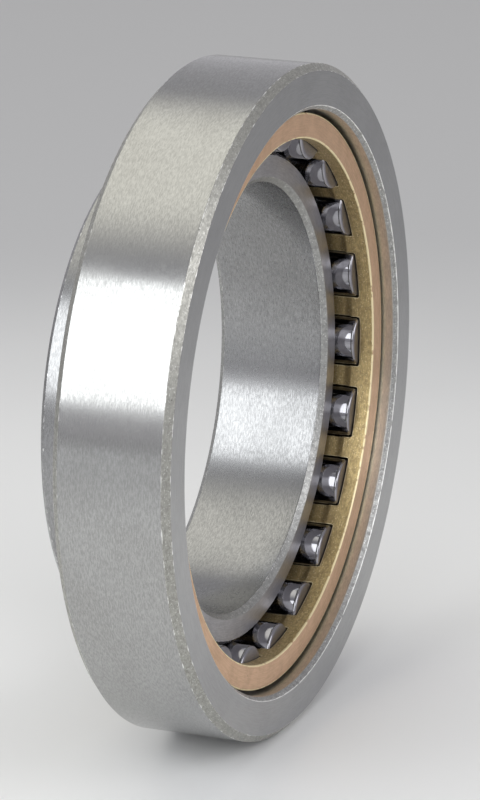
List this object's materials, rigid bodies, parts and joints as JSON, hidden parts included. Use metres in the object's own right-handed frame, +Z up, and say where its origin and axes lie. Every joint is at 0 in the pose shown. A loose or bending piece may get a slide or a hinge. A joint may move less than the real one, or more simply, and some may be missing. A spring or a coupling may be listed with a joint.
{
  "type": "cylindrical roller bearing",
  "caption": "Separable cylindrical roller bearing with ground steel rings and a machined brass window cage, its plain inner ring slid part of the way out of the back.",
  "frame": {"origin": "centre of the outer ring, on the bearing's axis, halfway between its two side faces", "axes": "+Y along the bearing's axis towards the back, where the inner ring stands out; -Y faces the open front; +Z up"},
  "size_m": [0.125, 0.0315, 0.125],
  "materials": {
    "outer_ring_steel": "ground",
    "inner_ring_steel": "ground",
    "roller_steel": "polished",
    "cage_brass": "machined, oiled"
  },
  "bodies": {
    "outer_ring": {"outer_ring": "outer_ring_steel"},
    "inner_ring": {"inner_ring": "inner_ring_steel"},
    "cage": {"cage": "cage_brass"},
    "roller_01": {"roller_01": "roller_steel"},
    "roller_02": {"roller_02": "roller_steel"},
    "roller_03": {"roller_03": "roller_steel"},
    "roller_04": {"roller_04": "roller_steel"},
    "roller_05": {"roller_05": "roller_steel"},
    "roller_06": {"roller_06": "roller_steel"},
    "roller_07": {"roller_07": "roller_steel"},
    "roller_08": {"roller_08": "roller_steel"},
    "roller_09": {"roller_09": "roller_steel"},
    "roller_10": {"roller_10": "roller_steel"},
    "roller_11": {"roller_11": "roller_steel"},
    "roller_12": {"roller_12": "roller_steel"},
    "roller_13": {"roller_13": "roller_steel"},
    "roller_14": {"roller_14": "roller_steel"},
    "roller_15": {"roller_15": "roller_steel"},
    "roller_16": {"roller_16": "roller_steel"},
    "roller_17": {"roller_17": "roller_steel"},
    "roller_18": {"roller_18": "roller_steel"},
    "roller_19": {"roller_19": "roller_steel"},
    "roller_20": {"roller_20": "roller_steel"},
    "roller_21": {"roller_21": "roller_steel"},
    "roller_22": {"roller_22": "roller_steel"}
  },
  "joints": [
    {"name": "inner_ring_spin", "type": "hinge", "parent": "outer_ring", "child": "inner_ring", "pos_m": [0, 0, 0], "axis": [0, 1, 0], "continuous": true},
    {"name": "cage_spin", "type": "hinge", "parent": "outer_ring", "child": "cage", "pos_m": [0, 0, 0], "axis": [0, 1, 0], "continuous": true},
    {"name": "roller_01_spin", "type": "hinge", "parent": "cage", "child": "roller_01", "pos_m": [0.05123, 0, -0.00143], "axis": [0, 1, 0], "continuous": true},
    {"name": "roller_02_spin", "type": "hinge", "parent": "cage", "child": "roller_02", "pos_m": [0.04956, 0, 0.01306], "axis": [0, 1, 0], "continuous": true},
    {"name": "roller_03_spin", "type": "hinge", "parent": "cage", "child": "roller_03", "pos_m": [0.04387, 0, 0.02649], "axis": [0, 1, 0], "continuous": true},
    {"name": "roller_04_spin", "type": "hinge", "parent": "cage", "child": "roller_04", "pos_m": [0.03463, 0, 0.03778], "axis": [0, 1, 0], "continuous": true},
    {"name": "roller_05_spin", "type": "hinge", "parent": "cage", "child": "roller_05", "pos_m": [0.02258, 0, 0.04601], "axis": [0, 1, 0], "continuous": true},
    {"name": "roller_06_spin", "type": "hinge", "parent": "cage", "child": "roller_06", "pos_m": [0.00871, 0, 0.0505], "axis": [0, 1, 0], "continuous": true},
    {"name": "roller_07_spin", "type": "hinge", "parent": "cage", "child": "roller_07", "pos_m": [-0.00587, 0, 0.05091], "axis": [0, 1, 0], "continuous": true},
    {"name": "roller_08_spin", "type": "hinge", "parent": "cage", "child": "roller_08", "pos_m": [-0.01998, 0, 0.04719], "axis": [0, 1, 0], "continuous": true},
    {"name": "roller_09_spin", "type": "hinge", "parent": "cage", "child": "roller_09", "pos_m": [-0.03247, 0, 0.03965], "axis": [0, 1, 0], "continuous": true},
    {"name": "roller_10_spin", "type": "hinge", "parent": "cage", "child": "roller_10", "pos_m": [-0.04232, 0, 0.0289], "axis": [0, 1, 0], "continuous": true},
    {"name": "roller_11_spin", "type": "hinge", "parent": "cage", "child": "roller_11", "pos_m": [-0.04875, 0, 0.01581], "axis": [0, 1, 0], "continuous": true},
    {"name": "roller_12_spin", "type": "hinge", "parent": "cage", "child": "roller_12", "pos_m": [-0.05123, 0, 0.00143], "axis": [0, 1, 0], "continuous": true},
    {"name": "roller_13_spin", "type": "hinge", "parent": "cage", "child": "roller_13", "pos_m": [-0.04956, 0, -0.01306], "axis": [0, 1, 0], "continuous": true},
    {"name": "roller_14_spin", "type": "hinge", "parent": "cage", "child": "roller_14", "pos_m": [-0.04387, 0, -0.02649], "axis": [0, 1, 0], "continuous": true},
    {"name": "roller_15_spin", "type": "hinge", "parent": "cage", "child": "roller_15", "pos_m": [-0.03463, 0, -0.03778], "axis": [0, 1, 0], "continuous": true},
    {"name": "roller_16_spin", "type": "hinge", "parent": "cage", "child": "roller_16", "pos_m": [-0.02258, 0, -0.04601], "axis": [0, 1, 0], "continuous": true},
    {"name": "roller_17_spin", "type": "hinge", "parent": "cage", "child": "roller_17", "pos_m": [-0.00871, 0, -0.0505], "axis": [0, 1, 0], "continuous": true},
    {"name": "roller_18_spin", "type": "hinge", "parent": "cage", "child": "roller_18", "pos_m": [0.00587, 0, -0.05091], "axis": [0, 1, 0], "continuous": true},
    {"name": "roller_19_spin", "type": "hinge", "parent": "cage", "child": "roller_19", "pos_m": [0.01998, 0, -0.04719], "axis": [0, 1, 0], "continuous": true},
    {"name": "roller_20_spin", "type": "hinge", "parent": "cage", "child": "roller_20", "pos_m": [0.03247, 0, -0.03965], "axis": [0, 1, 0], "continuous": true},
    {"name": "roller_21_spin", "type": "hinge", "parent": "cage", "child": "roller_21", "pos_m": [0.04232, 0, -0.0289], "axis": [0, 1, 0], "continuous": true},
    {"name": "roller_22_spin", "type": "hinge", "parent": "cage", "child": "roller_22", "pos_m": [0.04875, 0, -0.01581], "axis": [0, 1, 0], "continuous": true}
  ],
  "couplings": [
    {"joint": "cage_spin", "follows": "inner_ring_spin", "ratio": 0.44634},
    {"joint": "roller_01_spin", "follows": "inner_ring_spin", "ratio": -4.6054},
    {"joint": "roller_02_spin", "follows": "inner_ring_spin", "ratio": -4.6054},
    {"joint": "roller_03_spin", "follows": "inner_ring_spin", "ratio": -4.6054},
    {"joint": "roller_04_spin", "follows": "inner_ring_spin", "ratio": -4.6054},
    {"joint": "roller_05_spin", "follows": "inner_ring_spin", "ratio": -4.6054},
    {"joint": "roller_06_spin", "follows": "inner_ring_spin", "ratio": -4.6054},
    {"joint": "roller_07_spin", "follows": "inner_ring_spin", "ratio": -4.6054},
    {"joint": "roller_08_spin", "follows": "inner_ring_spin", "ratio": -4.6054},
    {"joint": "roller_09_spin", "follows": "inner_ring_spin", "ratio": -4.6054},
    {"joint": "roller_10_spin", "follows": "inner_ring_spin", "ratio": -4.6054},
    {"joint": "roller_11_spin", "follows": "inner_ring_spin", "ratio": -4.6054},
    {"joint": "roller_12_spin", "follows": "inner_ring_spin", "ratio": -4.6054},
    {"joint": "roller_13_spin", "follows": "inner_ring_spin", "ratio": -4.6054},
    {"joint": "roller_14_spin", "follows": "inner_ring_spin", "ratio": -4.6054},
    {"joint": "roller_15_spin", "follows": "inner_ring_spin", "ratio": -4.6054},
    {"joint": "roller_16_spin", "follows": "inner_ring_spin", "ratio": -4.6054},
    {"joint": "roller_17_spin", "follows": "inner_ring_spin", "ratio": -4.6054},
    {"joint": "roller_18_spin", "follows": "inner_ring_spin", "ratio": -4.6054},
    {"joint": "roller_19_spin", "follows": "inner_ring_spin", "ratio": -4.6054},
    {"joint": "roller_20_spin", "follows": "inner_ring_spin", "ratio": -4.6054},
    {"joint": "roller_21_spin", "follows": "inner_ring_spin", "ratio": -4.6054},
    {"joint": "roller_22_spin", "follows": "inner_ring_spin", "ratio": -4.6054}
  ]
}
